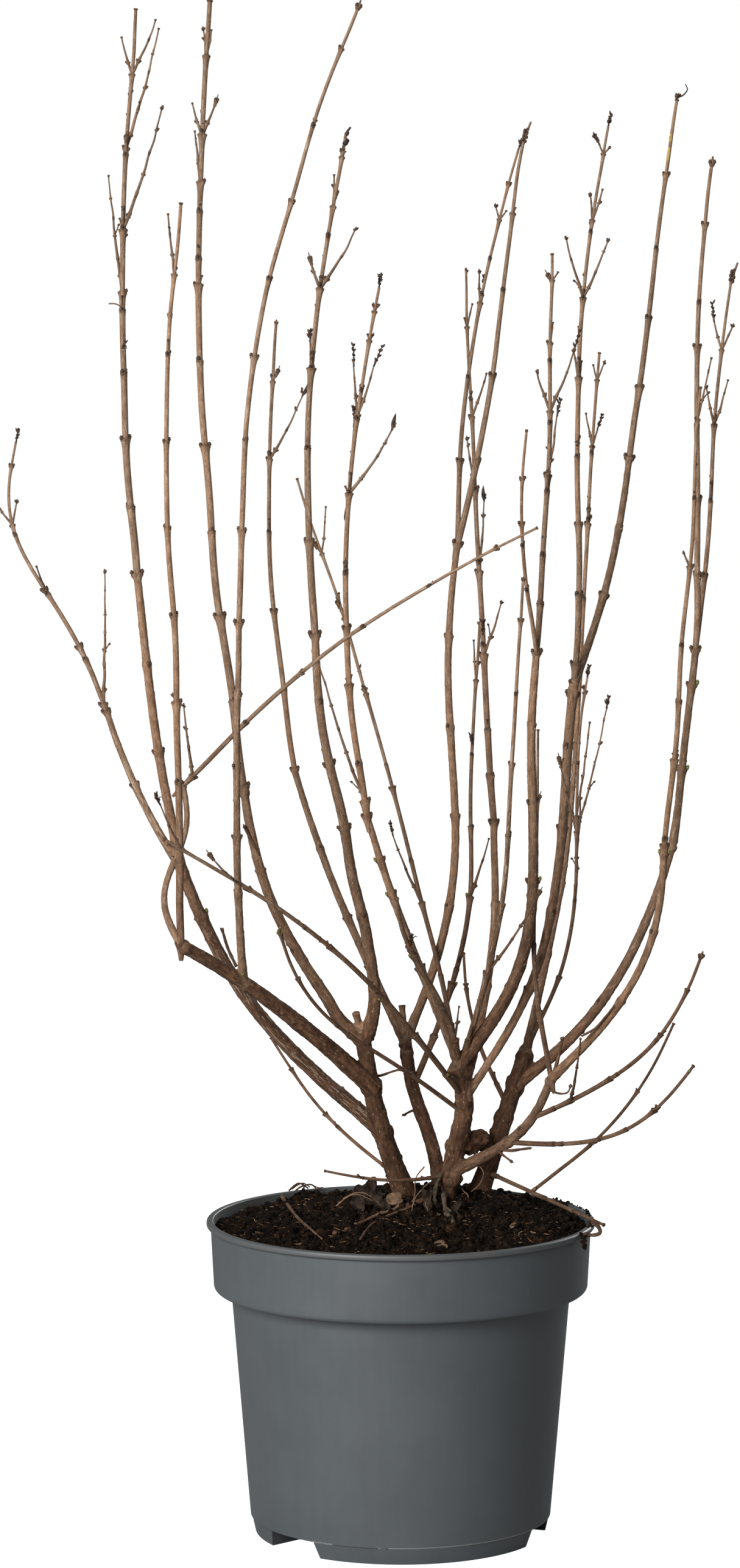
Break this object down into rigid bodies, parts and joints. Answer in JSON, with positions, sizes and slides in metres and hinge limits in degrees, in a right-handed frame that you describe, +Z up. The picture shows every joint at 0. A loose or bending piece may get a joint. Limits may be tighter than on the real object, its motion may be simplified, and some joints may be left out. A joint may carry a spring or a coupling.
{
  "type": "bare lilac bush in a nursery pot",
  "caption": "Leafless multi-stemmed lilac shrub: a few short trunks fork into slender upright stems with paired twigs, rooted in a round grey nursery pot filled with dark soil.",
  "frame": {"origin": "centre of the pot's flat underside", "axes": "+Z up along the pot's axis; +X to the right and +Y to the back as seen from the front"},
  "size_m": [0.4394, 0.3166, 0.9082],
  "materials": {
    "pot": "slate grey moulded polypropylene, satin, slightly dusty",
    "soil": "dark moist peat and bark compost with pale fibres",
    "bark": "matte red-brown bark, finely ridged and flaking on the trunks, smoother above",
    "twigs": "smooth grey-tan young bark with small dark buds, satin"
  },
  "bodies": {
    "root": {"trunk_left": "bark", "trunk_inner": "bark", "trunk_centre": "bark", "trunk_right": "bark", "trunk_low_right": "bark", "old_stub": "bark", "bough_left": "bark", "bough_low_left": "bark", "stem_far_left": "bark", "stem_outer_left": "bark", "stem_crossing": "bark", "stem_left": "bark", "stem_inner_left": "bark", "stem_mid_left": "bark", "stem_behind_left": "bark", "stem_mid": "bark", "stem_centre_left": "bark", "stem_centre_right": "bark", "stem_right": "bark", "stem_outer_right": "bark", "stem_slender_right": "bark", "stem_mid_right": "bark", "bough_right": "bark", "stem_far_right": "bark", "stem_low_right": "bark", "twigs_far_left": "twigs", "twigs_outer_left": "twigs", "twigs_elbow": "twigs", "twigs_crossing": "twigs", "twigs_left": "twigs", "twigs_inner_left": "twigs", "twigs_mid_left": "twigs", "twigs_behind_left": "twigs", "twigs_mid": "twigs", "twigs_inner_mid": "twigs", "twigs_centre_left": "twigs", "twigs_knob": "twigs", "twigs_long_shoot": "twigs", "twigs_slender_right": "twigs", "twigs_pale": "twigs", "twigs_centre_right": "twigs", "twigs_right": "twigs", "twigs_outer_right": "twigs", "twigs_mid_right": "twigs", "twigs_low_mid": "twigs", "twigs_back_shoot": "twigs", "twigs_far_right": "twigs", "twigs_upright": "twigs", "twigs_low_right": "twigs", "shoot_right_high": "twigs", "shoot_right_low": "twigs", "shoot_rim": "twigs", "shoot_back_right": "twigs", "shoot_low_left": "twigs", "shoot_ground_left": "twigs", "shoot_front": "twigs", "shoot_front_low": "twigs", "soil": "soil", "pot": "pot"}
  },
  "joints": []
}
